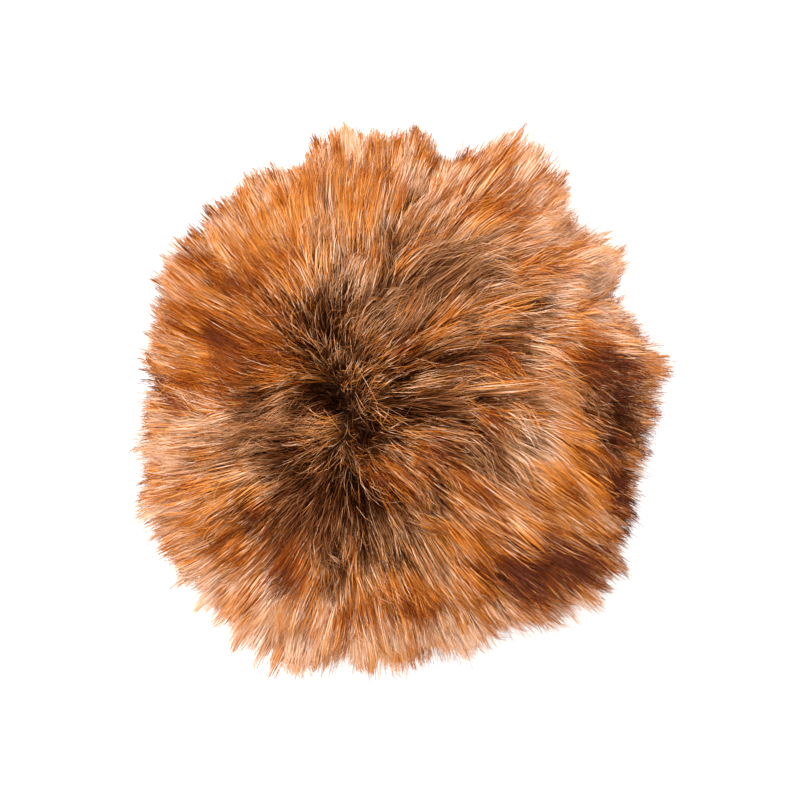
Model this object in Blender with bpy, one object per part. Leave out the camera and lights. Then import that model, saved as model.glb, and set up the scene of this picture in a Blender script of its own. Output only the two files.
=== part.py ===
"""A long-pile fur pom pom: a gathered ball of fur that lies on the flat spot under it.

The fur falls open at a parting near the top and is swept away from it on every side. The body
of the fur is one solid: a backing ball, and four-sided locks that grow out of its faces and
stand apart above their roots. Metres, +Z up, the origin at the middle of the flat spot.
"""

import math
import random

import bmesh
import bpy
from mathutils import Matrix, Vector

OBJECT_NAME = "fur_ball"
COLLECTION_NAME = "pom_pom"

# The ball of fur, to the tips of its locks. Its underside would hang below the floor by the
# depth that goes past its widest height, so the locks there end on the floor instead.
CROWN_HEIGHT = 0.121
WIDEST_HEIGHT = 0.055
UNDERSIDE_DEPTH = 0.062

# The backing ball that the locks grow from
BACKING_RADIUS = 0.0505
BACKING_HALF_HEIGHT = 0.0465
FLAT_SPOT_RADIUS = 0.0175

# The cage of the ball: a cube of square cells, one lock to each cell outside the flat spot
CELLS_PER_SIDE = 7
FLAT_SPOT_CELLS = 3
EVENING_ROUNDS = 12
CELL_DRIFT = 0.13
CAGE_TURN = math.radians(24)
ROOT_GAP = 0.0014

# The parting, which leans from straight up towards -X
PARTING_LEAN = math.radians(17)

# How far a tip is swept from above its root, by the angle between the root and the parting
SWEEP = (
    # angle, sweep, both in degrees
    (0, 3),
    (12, 13),
    (35, 21),
    (60, 20),
    (90, 11),
    (120, 1),
    (150, -5),
    (180, 0),
)

# The outline of the ball at its widest, counterclockwise from +X as seen from above. Side is
# how far round the ball a tip trails its root, and below 0 it trails clockwise.
OUTLINE = (
    # azimuth in degrees, reach in metres, side in degrees
    (0, 0.0652, -6),
    (20, 0.0623, -9),
    (40, 0.0637, -9),
    (60, 0.0711, -7),
    (80, 0.0627, -5),
    (100, 0.0694, -4),
    (120, 0.0672, -2),
    (140, 0.0662, -5),
    (160, 0.0657, -7),
    (180, 0.0661, -5),
    (200, 0.0691, -5),
    (220, 0.0707, -4),
    (240, 0.0719, -1),
    (260, 0.0679, 0),
    (280, 0.0641, 1),
    (300, 0.0665, 1),
    (320, 0.0698, -2),
    (340, 0.0637, -5),
)

# A lock from its root to its tip: how far up each section is, and how wide
LOCK_SECTIONS = (
    # rise, width, both as a share
    (0.42, 0.92),
    (0.78, 0.70),
    (1.00, 0.32),
)
LOCK_BEND = 1.35
SHORTEST_LOCK = 0.90
SWEEP_VARIATION = 0.03
SEED = 7

FUR_COLOUR = (0.42, 0.19, 0.08, 1.0)
FUR_ROUGHNESS = 0.85


def clear_scene():
    """Remove every object that the file opens with."""
    for item in list(bpy.data.objects):
        bpy.data.objects.remove(item, do_unlink=True)


def between_rows(table, angle, column):
    """Read a column of a table of angles, eased between its rows."""
    rows = list(table)
    for low, high in zip(rows, rows[1:]):
        if low[0] <= angle <= high[0]:
            share = (angle - low[0]) / (high[0] - low[0])
            eased = share * share * (3 - 2 * share)
            return low[column] + (high[column] - low[column]) * eased
    return rows[-1][column]


def around_outline(azimuth, column):
    """Read a column of OUTLINE at an azimuth in radians."""
    closed = OUTLINE + ((360,) + OUTLINE[0][1:],)
    return between_rows(closed, math.degrees(azimuth) % 360, column)


def on_ellipsoid(direction, half_width, half_height):
    """Distance from the centre to an ellipsoid of turned shape along a direction."""
    across = math.hypot(direction.x, direction.y) / half_width
    upright = direction.z / half_height
    return 1 / math.hypot(across, upright)


def outer_radius(direction):
    """Distance from the ball's centre to where the tips end, never past the floor."""
    azimuth = math.atan2(direction.y, direction.x)
    half_height = CROWN_HEIGHT - WIDEST_HEIGHT if direction.z > 0 else UNDERSIDE_DEPTH
    radius = on_ellipsoid(direction, around_outline(azimuth, 1), half_height)
    if direction.z < 0:
        radius = min(radius, -WIDEST_HEIGHT / direction.z)
    return radius


def cage_of_cells():
    """A cube of square cells, its points moved out to a ball of radius 1 and evened out there."""
    cage = bmesh.new()
    bmesh.ops.create_cube(cage, size=2)
    bmesh.ops.subdivide_edges(cage, edges=cage.edges[:], cuts=CELLS_PER_SIDE - 1, use_grid_fill=True)
    for point in cage.verts:
        point.co = Vector(math.tan(axis * math.pi / 4) for axis in point.co).normalized()
    for _ in range(EVENING_ROUNDS):
        bmesh.ops.smooth_vert(cage, verts=cage.verts[:], factor=0.5,
                              use_axis_x=True, use_axis_y=True, use_axis_z=True)
        for point in cage.verts:
            point.co.normalize()
    return cage


def split_off_flat_spot(cage):
    """Sort the cage's faces into those of the flat spot and those that carry locks."""
    limit = math.tan(math.pi / 4 * FLAT_SPOT_CELLS / CELLS_PER_SIDE)
    under, carrying = [], []
    for face in cage.faces:
        middle = face.calc_center_median()
        is_under = middle.z < 0 and max(abs(middle.x), abs(middle.y)) < limit * -middle.z
        (under if is_under else carrying).append(face)
    return under, carrying


def shape_backing(cage, under, chance):
    """Give the cage the backing ball's size, uneven cells and a round flat spot on the floor."""
    flat_points = {point for face in under for point in face.verts}
    block_edge = max(abs(point.co.x) for point in flat_points)
    cell = math.pi / 2 / CELLS_PER_SIDE
    turn = Matrix.Rotation(CAGE_TURN, 3, "Z")
    for point in cage.verts:
        if point in flat_points:
            aside = Vector((point.co.x, point.co.y, 0))
            square = max(abs(aside.x), abs(aside.y)) / block_edge
            point.co = turn @ aside.normalized() * FLAT_SPOT_RADIUS * square
            continue
        drift = Vector(chance.uniform(-1, 1) for _ in range(3)) * CELL_DRIFT * cell
        direction = (turn @ point.co + drift).normalized()
        point.co = direction * on_ellipsoid(direction, BACKING_RADIUS, BACKING_HALF_HEIGHT)
        point.co.z += WIDEST_HEIGHT


def swept_direction(direction, share, vary):
    """Turn a root's direction towards where its tip points, a share of the way."""
    parting = Vector((-math.sin(PARTING_LEAN), 0, math.cos(PARTING_LEAN)))
    angle = direction.angle(parting)
    azimuth = math.atan2(direction.y, direction.x)
    sweep = math.radians(between_rows(SWEEP, math.degrees(angle), 1)) * share * vary
    side = math.radians(around_outline(azimuth, 2)) * share * math.sin(angle)
    away = Matrix.Rotation(sweep, 3, parting.cross(direction).normalized())
    around = Matrix.Rotation(side, 3, parting)
    return around @ away @ direction


def grow_locks(cage, carrying, chance):
    """Narrow each cell to a lock's root, then draw the lock out of it section by section."""
    centre = Vector((0, 0, WIDEST_HEIGHT))
    bmesh.ops.inset_individual(cage, faces=carrying, thickness=ROOT_GAP, use_even_offset=True)
    for face in carrying:
        root = face.calc_center_median()
        direction = (root - centre).normalized()
        root_radius = (root - centre).length
        corners = [point.co - root for point in face.verts]
        length = chance.uniform(SHORTEST_LOCK, 1)
        vary = chance.uniform(1 - SWEEP_VARIATION, 1 + SWEEP_VARIATION)
        tip = face
        for rise, width in LOCK_SECTIONS:
            share = rise * length
            pointing = swept_direction(direction, share**LOCK_BEND, vary)
            reach = outer_radius(pointing)
            on_floor = pointing.z < 0 and math.isclose(reach, -WIDEST_HEIGHT / pointing.z)
            if on_floor:
                share = rise
            middle = centre + pointing * (root_radius + (reach - root_radius) * share)
            turned = direction.rotation_difference(pointing)
            tip = bmesh.ops.extrude_discrete_faces(cage, faces=[tip])["faces"][0]
            for point, corner in zip(tip.verts, corners):
                point.co = middle + turned @ corner * width
                lies_flat = on_floor and rise == LOCK_SECTIONS[-1][0]
                point.co.z = 0 if lies_flat else max(point.co.z, 0)


def fur_material():
    """Plain fur: rust brown and dull."""
    material = bpy.data.materials.new("rust_fur")
    material.use_nodes = True
    shader = material.node_tree.nodes["Principled BSDF"]
    shader.inputs["Base Color"].default_value = FUR_COLOUR
    shader.inputs["Roughness"].default_value = FUR_ROUGHNESS
    shader.inputs["Metallic"].default_value = 0.0
    return material


def build_fur_ball(collection):
    """The pom pom's one solid: the backing ball with its locks."""
    chance = random.Random(SEED)
    cage = cage_of_cells()
    under, carrying = split_off_flat_spot(cage)
    shape_backing(cage, under, chance)
    grow_locks(cage, carrying, chance)
    bmesh.ops.recalc_face_normals(cage, faces=cage.faces[:])
    mesh = bpy.data.meshes.new(OBJECT_NAME)
    cage.to_mesh(mesh)
    cage.free()
    mesh.materials.append(fur_material())
    ball = bpy.data.objects.new(OBJECT_NAME, mesh)
    collection.objects.link(ball)
    return ball


def main():
    """Build the pom pom in a collection of its own."""
    clear_scene()
    collection = bpy.data.collections.new(COLLECTION_NAME)
    bpy.context.scene.collection.children.link(collection)
    build_fur_ball(collection)


main()
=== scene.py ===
"""The looks of a long-pile fur pom pom: its coat of hair, its colours, and a plain studio.

The hair grows from a dark under fur, falls open at a parting near the top of the ball and is
swept away from it on every side. Each strand is a narrow band that comes to a point. Strands
gather in wisps, and wisps in locks. A strand's colour runs along its length, and its tone is
set by where it lies.
"""

import logging
import math
from dataclasses import dataclass
from enum import Enum

import bmesh
import bpy
import numpy as np
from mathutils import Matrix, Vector, kdtree, noise

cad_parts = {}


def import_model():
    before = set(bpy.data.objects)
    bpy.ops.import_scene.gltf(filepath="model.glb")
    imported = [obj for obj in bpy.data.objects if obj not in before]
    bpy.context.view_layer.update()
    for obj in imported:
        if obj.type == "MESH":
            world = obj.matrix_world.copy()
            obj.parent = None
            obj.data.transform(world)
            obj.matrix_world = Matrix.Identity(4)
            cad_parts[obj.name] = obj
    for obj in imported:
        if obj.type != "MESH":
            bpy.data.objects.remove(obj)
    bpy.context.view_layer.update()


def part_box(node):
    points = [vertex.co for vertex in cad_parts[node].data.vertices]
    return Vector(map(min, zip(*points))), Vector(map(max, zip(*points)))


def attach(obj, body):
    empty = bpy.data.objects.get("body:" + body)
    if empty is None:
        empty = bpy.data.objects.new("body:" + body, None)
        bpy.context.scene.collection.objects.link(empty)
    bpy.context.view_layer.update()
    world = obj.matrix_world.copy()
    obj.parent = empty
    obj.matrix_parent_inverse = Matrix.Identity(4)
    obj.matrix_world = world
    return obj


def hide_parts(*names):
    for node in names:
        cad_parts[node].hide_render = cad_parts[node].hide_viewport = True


LOG = logging.getLogger("pom_pom")
MM = 0.001
# A number that keeps a division from going wrong
TINY = 1e-6
# How far the hair stands above the top of the solid, and how low its lowest point may lie
HAIR_ABOVE_SOLID = 1.5 * MM
LOWEST_POINT = 0.1 * MM
ROOT_BODY = "root"
FUR_NODE = "fur_ball"
TONE_MAP_NAME = "OFBake"


# ---------------------------------------------------------------- colours


class Tone(Enum):
    """The tones of the coat, in an order in which each is near its neighbours.

    The value is the tone's row in the colour map.
    """

    ESPRESSO = 0
    TAUPE = 1
    ASH = 2
    CREAM = 3
    PALE = 4
    TAN = 5
    ORANGE = 6
    RUST = 7
    CHESTNUT = 8
    CHOCOLATE = 9


@dataclass(frozen=True)
class ToneRamp:
    """One tone from its darkest to its lightest, in sRGB from 0 to 255.

    Attributes:
        tone: The tone.
        root: The colour by the skin: the hair's own dark root, deepened by painted shade.
        shade: The colour where hair lies deep, partly painted shade.
        body: The colour of most of what shows.
        light: The colour of the lightest hairs, partly a painted highlight.
    """

    tone: Tone
    root: tuple[int, int, int]
    shade: tuple[int, int, int]
    body: tuple[int, int, int]
    light: tuple[int, int, int]

    def colours(self) -> tuple[tuple[int, int, int], ...]:
        """The four colours from dark to light."""
        return self.root, self.shade, self.body, self.light


RAMP_STOPS = (0.0, 0.35, 0.70, 1.0)
TONE_RAMPS = (
    ToneRamp(Tone.ESPRESSO, (14, 4, 1), (42, 15, 3), (82, 41, 19), (144, 90, 54)),
    ToneRamp(Tone.TAUPE, (20, 8, 2), (62, 28, 8), (112, 69, 41), (172, 118, 76)),
    ToneRamp(Tone.ASH, (28, 11, 4), (92, 50, 20), (152, 106, 70), (196, 146, 106)),
    ToneRamp(Tone.CREAM, (40, 17, 6), (130, 78, 40), (196, 146, 108), (214, 170, 132)),
    ToneRamp(Tone.PALE, (50, 26, 12), (158, 106, 70), (217, 178, 152), (229, 198, 178)),
    ToneRamp(Tone.TAN, (38, 15, 5), (128, 70, 24), (199, 135, 78), (209, 152, 100)),
    ToneRamp(Tone.ORANGE, (34, 11, 2), (122, 55, 4), (187, 108, 33), (202, 131, 60)),
    ToneRamp(Tone.RUST, (26, 8, 1), (84, 30, 1), (139, 61, 9), (176, 94, 32)),
    ToneRamp(Tone.CHESTNUT, (18, 6, 2), (62, 21, 2), (96, 40, 13), (142, 77, 38)),
    ToneRamp(Tone.CHOCOLATE, (14, 4, 1), (42, 15, 7), (77, 34, 20), (148, 84, 54)),
)

# The sRGB curve: a straight line near black, and a power above it
SRGB_LIMIT = 0.04045
SRGB_SLOPE = 12.92
SRGB_OFFSET = 0.055
SRGB_POWER = 2.4


def linear_channel(share: float) -> float:
    """Turn a channel of an sRGB colour, from 0 to 1, into a linear one."""
    power = ((share + SRGB_OFFSET) / (1 + SRGB_OFFSET)) ** SRGB_POWER
    return share / SRGB_SLOPE if share <= SRGB_LIMIT else power


def linear_colour(colour: tuple[int, int, int]) -> tuple[float, float, float, float]:
    """Turn an sRGB colour, from 0 to 255, into the linear one that a shader takes, alpha 1."""
    return (*[linear_channel(channel / 255) for channel in colour], 1.0)


@dataclass(frozen=True)
class Finish:
    """How dull and how soft a surface is.

    Attributes:
        name: The material's name.
        roughness: From 0, a mirror, to 1, chalk.
        specular: Strength of the clear highlight.
        sheen: Strength of the soft glow at grazing angles.
    """

    name: str
    roughness: float
    specular: float
    sheen: float = 0.0


GUARD_HAIR = Finish("guard_hair", 0.70, 0.01)
UNDER_FUR = Finish("under_fur", 0.95, 0.01)
FLOOR_PAPER = Finish("floor_paper", 0.90, 0.10)

# The streaks of the under fur: how fine they are and how detailed, their colours in sRGB, and
# how strongly and how far they stand out. Its near-black brown is partly the down's own colour
# and partly painted shade of the deep coat between the hairs.
DOWN_SCALE = 900.0
DOWN_DETAIL = 4.0
DOWN_AND_SHADE_COLOURS = ((22, 10, 6), (58, 33, 21))
DOWN_BUMP = 0.8
DOWN_DEPTH = 0.4 * MM


def start_material(finish: Finish) -> tuple[bpy.types.Material, bpy.types.Node]:
    """Make a material with its shader set.

    Args:
        finish: The finish to set.

    Returns:
        The material and its Principled BSDF.
    """
    material = bpy.data.materials.new(finish.name)
    material.use_nodes = True
    shader = material.node_tree.nodes["Principled BSDF"]
    shader.inputs["Roughness"].default_value = finish.roughness
    shader.inputs["Specular IOR Level"].default_value = finish.specular
    shader.inputs["Sheen Weight"].default_value = finish.sheen
    shader.inputs["Metallic"].default_value = 0.0
    return material, shader


class CoatTones:
    """The node group that colours a hair by its place in the colour map."""

    def __init__(self) -> None:
        """Build the group once."""
        self.group = bpy.data.node_groups.new("coat_tones", "ShaderNodeTree")
        face = self.group.interface
        face.new_socket("Lightness", in_out="INPUT", socket_type="NodeSocketFloat")
        face.new_socket("Tone", in_out="INPUT", socket_type="NodeSocketFloat")
        face.new_socket("Colour", in_out="OUTPUT", socket_type="NodeSocketColor")
        self._add_nodes()

    def _ramp(self, ramp: ToneRamp) -> bpy.types.Node:
        """Make the colour ramp of one tone.

        Args:
            ramp: The tone's colours from dark to light.

        Returns:
            The ramp node.
        """
        node = self.group.nodes.new("ShaderNodeValToRGB")
        node.label = ramp.tone.name.lower()
        elements = node.color_ramp.elements
        while len(elements) < len(RAMP_STOPS):
            elements.new(0.5)
        for element, place, colour in zip(elements, RAMP_STOPS, ramp.colours()):
            element.position = place
            element.color = linear_colour(colour)
        return node

    def _math(self, operation: str, first: bpy.types.NodeSocket, second: float) -> bpy.types.NodeSocket:
        """Join a socket with a number.

        Args:
            operation: What the Math node does.
            first: The socket.
            second: The number.

        Returns:
            The socket of the outcome.
        """
        node = self.group.nodes.new("ShaderNodeMath")
        node.operation = operation
        node.inputs[1].default_value = second
        self.group.links.new(first, node.inputs[0])
        return node.outputs[0]

    def _add_nodes(self) -> None:
        """Blend each tone's ramp with its neighbour's."""
        links = self.group.links
        source = self.group.nodes.new("NodeGroupInput")
        result = self.group.nodes.new("NodeGroupOutput")
        rows = self._math("MULTIPLY", source.outputs["Tone"], float(len(TONE_RAMPS)))
        colour = None
        for ramp in TONE_RAMPS:
            node = self._ramp(ramp)
            links.new(source.outputs["Lightness"], node.inputs["Fac"])
            if colour is None:
                colour = node.outputs["Color"]
                continue
            past = self._math("SUBTRACT", rows, ramp.tone.value - 0.5)
            mix = self.group.nodes.new("ShaderNodeMix")
            mix.data_type = "RGBA"
            mix.clamp_factor = True
            links.new(past, mix.inputs["Factor"])
            links.new(colour, mix.inputs["A"])
            links.new(node.outputs["Color"], mix.inputs["B"])
            colour = mix.outputs["Result"]
        links.new(colour, result.inputs["Colour"])


class FurMaterials:
    """The materials of the hair and of the under fur."""

    def __init__(self) -> None:
        """Make both materials."""
        self.tones = CoatTones()
        self.guard_hair = self._guard_hair(GUARD_HAIR)
        self.under_fur = self._under_fur(UNDER_FUR)

    def _guard_hair(self, finish: Finish) -> bpy.types.Material:
        """Colour each hair by its place in the colour map.

        Args:
            finish: The finish of the hair.

        Returns:
            The material.
        """
        material, shader = start_material(finish)
        nodes, links = material.node_tree.nodes, material.node_tree.links
        places = nodes.new("ShaderNodeUVMap")
        places.uv_map = TONE_MAP_NAME
        split = nodes.new("ShaderNodeSeparateXYZ")
        tones = nodes.new("ShaderNodeGroup")
        tones.node_tree = self.tones.group
        links.new(places.outputs["UV"], split.inputs["Vector"])
        links.new(split.outputs["X"], tones.inputs["Lightness"])
        links.new(split.outputs["Y"], tones.inputs["Tone"])
        links.new(tones.outputs["Colour"], shader.inputs["Base Color"])
        return material

    def _under_fur(self, finish: Finish) -> bpy.types.Material:
        """Dark felted down with fine streaks, its darkness partly painted shade of the deep coat.

        Args:
            finish: The finish of the under fur.

        Returns:
            The material.
        """
        material, shader = start_material(finish)
        nodes, links = material.node_tree.nodes, material.node_tree.links
        place = nodes.new("ShaderNodeTexCoord")
        down = nodes.new("ShaderNodeTexNoise")
        down.inputs["Scale"].default_value = DOWN_SCALE
        down.inputs["Detail"].default_value = DOWN_DETAIL
        tint = nodes.new("ShaderNodeValToRGB")
        for element, colour in zip(tint.color_ramp.elements, DOWN_AND_SHADE_COLOURS):
            element.color = linear_colour(colour)
        bump = nodes.new("ShaderNodeBump")
        bump.inputs["Strength"].default_value = DOWN_BUMP
        bump.inputs["Distance"].default_value = DOWN_DEPTH
        links.new(place.outputs["Object"], down.inputs["Vector"])
        links.new(down.outputs["Fac"], tint.inputs["Fac"])
        links.new(tint.outputs["Color"], shader.inputs["Base Color"])
        links.new(down.outputs["Fac"], bump.inputs["Height"])
        links.new(bump.outputs["Normal"], shader.inputs["Normal"])
        return material


# ---------------------------------------------------------------- how the hair lies


# The ball's outline at its widest: azimuth counterclockwise from +X seen from above, in
# degrees, and reach from the middle in millimetres. High rows are tufts and low ones notches.
OUTLINE = (
    (0, 66.0), (7, 71.5), (13, 65.5), (20, 63.5), (27, 59.0), (31, 68.0), (36, 69.5),
    (41, 64.0), (46, 65.0), (50, 71.0), (56, 75.0), (60, 75.5), (66, 76.0), (69, 73.0),
    (72, 65.5), (75, 67.0), (78, 64.0), (82, 63.5), (84, 67.5), (88, 71.5), (92, 67.5),
    (96, 71.5), (101, 74.0), (107, 70.5), (114, 65.5), (120, 69.5), (131, 66.5), (135, 69.5),
    (143, 67.5), (152, 72.0), (160, 67.0), (172, 66.0), (180, 65.0), (188, 66.5), (202, 72.0),
    (209, 74.0), (216, 72.0), (231, 76.0), (246, 75.5), (254, 73.5), (261, 69.0), (267, 69.5),
    (276, 65.5), (284, 66.5), (292, 64.5), (301, 67.5), (309, 71.0), (319, 74.0), (325, 68.5),
    (331, 68.0), (340, 64.0), (346, 65.0), (351, 63.0), (356, 66.5),
)

# The line along which the hair parts: degrees on the ball from the parting's middle, towards +X
# and towards +Y
PARTING_LINE = (
    (-6.0, 9.0), (0.0, 0.0), (1.5, -6.0), (-1.5, -14.0),
)

# How far the hair at the outline turns from straight away from the parting, in degrees, by the
# azimuth round the parting. Below 0 it turns clockwise as seen from above.
SWIRL = (
    (0, -40), (12, -44), (28, -34), (42, -36), (52, -30), (62, -18), (76, -6), (94, 0),
    (113, 4), (139, 2), (164, -14), (180, -18), (203, -28), (228, -23), (249, -13), (269, -4),
    (292, 4), (308, 14), (322, 0), (336, -22), (346, -36),
)

# How far a tip is swept from above its root, by the angle between the root and the parting, all
# in degrees: where the hair lies down, and where it stands up.
LYING_SWEEP = (
    (0, 3), (4, 7), (12, 16), (24, 21), (42, 19), (60, 11), (80, 5), (120, 1), (150, -5),
    (180, 0),
)
STANDING_SWEEP = (
    (0, 3), (4, 7), (12, 13), (24, 12), (42, 7), (60, 3), (80, 1), (120, 0), (150, -5),
    (180, 0),
)

# How far the hair lies down, from 0 to 1, by the azimuth round the parting.
LYING = (
    (0, 1.0), (40, 0.8), (70, 0.5), (100, 0.2), (130, 0.0), (220, 0.0), (250, 0.2), (280, 0.4),
    (310, 0.8), (335, 1.0),
)


def read_table(table: tuple[tuple[float, float], ...], at: np.ndarray, around: bool) -> np.ndarray:
    """Read a table of two columns between its rows.

    Args:
        table: Rows of a place, mostly an angle in degrees, and a value.
        at: Places to read it at.
        around: Whether the places are angles that go round a circle.

    Returns:
        The value at each place.
    """
    places, values = np.array(table, float).T
    if around:
        return np.interp(at % 360, places, values, period=360)
    return np.interp(at, places, values)


def unit(vectors: np.ndarray) -> np.ndarray:
    """Bring vectors to a length of 1."""
    lengths = np.linalg.norm(vectors, axis=-1, keepdims=True)
    return vectors / np.maximum(lengths, TINY**2)


def eased(share: np.ndarray) -> np.ndarray:
    """Ease from 0 to 1 without a kink at either end."""
    share = np.clip(share, 0, 1)
    return share * share * (3 - 2 * share)


def put_in_scene(name: str, data: bpy.types.ID) -> bpy.types.Object:
    """Make an object and show it.

    Args:
        name: Its name.
        data: Its mesh, light or camera.

    Returns:
        The object.
    """
    item = bpy.data.objects.new(name, data)
    bpy.context.scene.collection.objects.link(item)
    return item


def mesh_from(shape: bmesh.types.BMesh, name: str, material: bpy.types.Material) -> bpy.types.Mesh:
    """Turn a shape that is done into a mesh of one material.

    Args:
        shape: The shape, which this frees.
        name: The mesh's name.
        material: Its material.

    Returns:
        The mesh.
    """
    mesh = bpy.data.meshes.new(name)
    shape.to_mesh(mesh)
    shape.free()
    mesh.materials.append(material)
    return mesh


@dataclass
class FurBall:
    """The ball that the hair fills, and how the hair lies on it.

    Attributes:
        crown_height: Height of the top of the hair above the floor.
        widest: Height of the widest part above the floor.
        under_depth: How deep the underside would hang if no floor held it up.
        root_radius: Radius of the skin that the hair grows from, at its widest.
        root_half_height: Half its height.
        parting_lean: Angle from straight up to the parting's middle, towards -X.
        floor_gap: How far above the floor the lowest hair stays.
        line_hold: How far from the parting line hair runs straight off it, in degrees.
        line_blend: Over how many more degrees it comes to run off the parting's middle.
        swirl_start: Share of the way to the outline where the hair starts to swirl.
        swirl_blend: Over what share of the way that grows.
        swirl_loss: The share of the swirl that is gone on the underside.
        swirl_loss_blend: Over what share of the way past the outline it goes.
    """

    crown_height: float
    widest: float = 0.055
    under_depth: float = 0.062
    root_radius: float = 0.046
    root_half_height: float = 0.043
    parting_lean: float = math.radians(16.5)
    floor_gap: float = 0.4 * MM
    line_hold: float = 8.0
    line_blend: float = 30.0
    swirl_start: float = 0.22
    swirl_blend: float = 0.72
    swirl_loss: float = 0.8
    swirl_loss_blend: float = 0.7

    def __post_init__(self) -> None:
        """Work out the parting's middle, the ways across and along it, and the ball's middle."""
        lean = self.parting_lean
        self.parting = np.array([-math.sin(lean), 0.0, math.cos(lean)])
        self.across = np.array([math.cos(lean), 0.0, math.sin(lean)])
        self.along = np.array([0.0, 1.0, 0.0])
        self.middle = np.array([0.0, 0.0, self.widest])

    def from_parting(self, directions: np.ndarray) -> tuple[np.ndarray, np.ndarray]:
        """Find where directions lie from the parting's middle.

        Args:
            directions: Unit vectors from the ball's middle, one a row.

        Returns:
            The angle from the parting's middle and the azimuth round it, both in degrees.
        """
        off = np.degrees(np.arccos(np.clip(directions @ self.parting, -1, 1)))
        round_it = np.degrees(np.arctan2(directions @ self.along, directions @ self.across))
        return off, round_it % 360

    def share_of_way(self, directions: np.ndarray) -> np.ndarray:
        """How far points lie from the parting towards the outline, and past it.

        Args:
            directions: Unit vectors from the ball's middle, one a row.

        Returns:
            Numbers from 0 at the parting through 1 at the outline to 2 below.
        """
        flat = directions[:, :2] * self.outer_radius(directions)[:, None]
        start = self.parting[:2] * (self.crown_height - self.widest)
        away = flat - start
        distance = np.linalg.norm(away, axis=1)
        # The outline is taken as a circle here, so the way to it has a formula.
        rim = np.mean([reach for _, reach in OUTLINE]) * MM
        along = unit(away) @ start
        to_rim = -along + np.sqrt(np.maximum(along**2 + rim**2 - start @ start, 0))
        share = distance / to_rim
        return np.where(directions[:, 2] < 0, 2 - np.minimum(share, 1), share)

    def from_parting_line(self, directions: np.ndarray) -> tuple[np.ndarray, np.ndarray]:
        """Find how far directions lie from the parting line, and which way straight off it is.

        Args:
            directions: Unit vectors from the ball's middle, one a row.

        Returns:
            The angle from the line in degrees, and that way counterclockwise from the way off
            the parting's middle, in degrees.
        """
        off, round_it = self.from_parting(directions)
        turn = np.radians(round_it)
        place = off[:, None] * np.stack([np.cos(turn), np.sin(turn)], 1)
        nearest = np.full(len(place), np.inf)
        away = np.zeros_like(place)
        for start, end in zip(np.array(PARTING_LINE), np.array(PARTING_LINE[1:])):
            run = end - start
            share = np.clip((place - start) @ run / (run @ run), 0, 1)
            offset = place - start - share[:, None] * run
            distance = np.linalg.norm(offset, axis=1)
            closer = distance < nearest
            nearest = np.where(closer, distance, nearest)
            away = np.where(closer[:, None], offset, away)
        far = eased((nearest - self.line_hold) / self.line_blend)[:, None]
        heading = (1 - far) * unit(away) + far * unit(place)
        angle = np.degrees(np.arctan2(heading[:, 1], heading[:, 0])) - round_it
        return nearest, angle

    def flow(self, directions: np.ndarray, stray: np.ndarray) -> np.ndarray:
        """Find which way the hair runs over the ball.

        Args:
            directions: Unit vectors from the ball's middle, one a row.
            stray: How far each hair strays from the flow, counterclockwise in degrees.

        Returns:
            Unit vectors along the ball.
        """
        _, angle = self.from_parting_line(directions)
        _, round_it = self.from_parting(directions)
        share = self.share_of_way(directions)
        swirl = read_table(SWIRL, round_it, around=True)
        swirl *= eased((share - self.swirl_start) / self.swirl_blend)
        swirl *= 1 - self.swirl_loss * eased((share - 1) / self.swirl_loss_blend)
        turn = np.radians(angle + swirl + stray)[:, None]
        outward = directions * (directions @ self.parting)[:, None] - self.parting
        outward = unit(outward)
        beside = np.cross(directions, outward)
        return outward * np.cos(turn) + beside * np.sin(turn)

    @staticmethod
    def ellipsoid(directions: np.ndarray, half_width: np.ndarray, half_height: np.ndarray) -> np.ndarray:
        """Distance from the middle to an ellipsoid along each direction."""
        flat = np.hypot(directions[..., 0], directions[..., 1]) / half_width
        return 1 / np.hypot(flat, directions[..., 2] / half_height)

    def outer_radius(self, directions: np.ndarray) -> np.ndarray:
        """Distance from the middle to where full hairs end, never past the floor.

        Args:
            directions: Unit vectors from the ball's middle.

        Returns:
            The distance along each.
        """
        azimuth = np.degrees(np.arctan2(directions[..., 1], directions[..., 0]))
        reach = read_table(OUTLINE, azimuth, around=True) * MM
        up = directions[..., 2]
        half_height = np.where(up > 0, self.crown_height - self.widest, self.under_depth)
        radius = self.ellipsoid(directions, reach, half_height)
        to_floor = (self.widest - self.floor_gap) / np.maximum(-up, TINY)
        return np.where(up < 0, np.minimum(radius, to_floor), radius)

    def root_radius_at(self, directions: np.ndarray) -> np.ndarray:
        """Distance from the middle to the skin along each direction."""
        return self.ellipsoid(directions, self.root_radius, self.root_half_height)

    def height_in_coat(self, away: np.ndarray, length: np.ndarray) -> np.ndarray:
        """Find how high points lie in the coat.

        Args:
            away: Vectors from the ball's middle to the points, one a row.
            length: Length of the lock at each, as a share of the way to the outline.

        Returns:
            Numbers from 0 at the skin to 1 at the lock's tip.
        """
        directions = unit(away)
        skin = self.root_radius_at(directions)
        return (np.linalg.norm(away, axis=1) - skin) / ((self.outer_radius(directions) - skin) * length)


# ---------------------------------------------------------------- where each tone lies


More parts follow.
